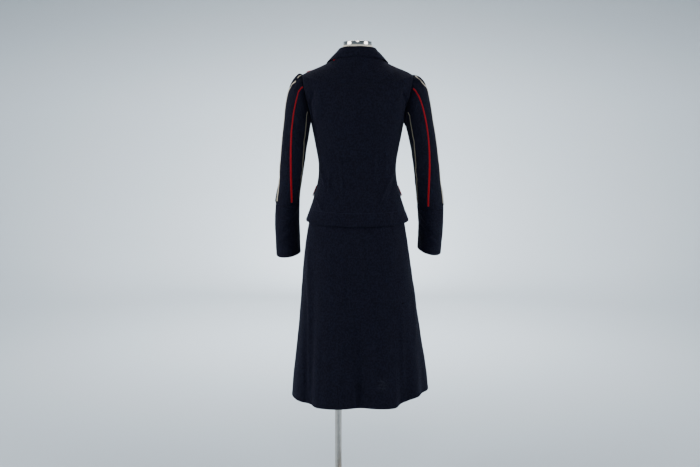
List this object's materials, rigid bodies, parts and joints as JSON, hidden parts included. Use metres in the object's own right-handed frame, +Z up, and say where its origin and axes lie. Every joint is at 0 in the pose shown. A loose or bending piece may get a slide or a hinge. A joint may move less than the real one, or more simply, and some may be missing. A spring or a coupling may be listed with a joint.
{
  "type": "knitted jacket and skirt suit on a limbless dress form with a stand",
  "caption": "Knitted jacket with braid-striped sleeves, deep cuffs and a flared midi skirt, worn by a limbless dress form on a steel pole with a round base.",
  "frame": {"origin": "on the floor, under the middle of the stand's round base", "axes": "+Z up along the form, -Y out of the jacket's front, +X towards the wearer's left"},
  "size_m": [0.5839, 0.378, 1.5598],
  "materials": {
    "navy_knit": "matt fine-gauge wool knit, very dark navy",
    "red_braid": "matt narrow braid, red",
    "cream_braid": "matt narrow braid, cream",
    "navy_plastic": "satin dark navy buttons",
    "form_jersey": "matt cream jersey stretched over the form",
    "chrome": "polished chrome neck cap",
    "satin_steel": "satin steel stand"
  },
  "bodies": {
    "root": {"jacket_back": "navy_knit", "jacket_front_left": "navy_knit", "jacket_front_right": "navy_knit", "collar": "navy_knit", "collar_piping_left": "red_braid", "collar_piping_right": "red_braid", "shoulder_piping_left": "red_braid", "shoulder_piping_right": "red_braid", "sleeve_left": "navy_knit", "sleeve_right": "navy_knit", "cuff_left": "navy_knit", "cuff_right": "navy_knit", "centre_cream_left": "cream_braid", "centre_cream_right": "cream_braid", "back_red_left": "red_braid", "back_red_right": "red_braid", "back_cream_left": "cream_braid", "back_cream_right": "cream_braid", "front_red_left": "red_braid", "front_red_right": "red_braid", "front_cream_left": "cream_braid", "front_cream_right": "cream_braid", "pocket_flap_left": "navy_knit", "pocket_flap_right": "navy_knit", "flap_piping_left": "red_braid", "flap_piping_right": "red_braid", "button_1": "navy_plastic", "button_2": "navy_plastic", "button_3": "navy_plastic", "button_4": "navy_plastic", "button_5": "navy_plastic", "skirt_back": "navy_knit", "skirt_front": "navy_knit", "skirt_waistband": "navy_knit", "form_torso": "form_jersey", "form_neck_cap": "chrome", "stand_flange": "satin_steel", "stand_pole": "satin_steel", "stand_hub": "satin_steel", "stand_base": "satin_steel"}
  },
  "joints": []
}
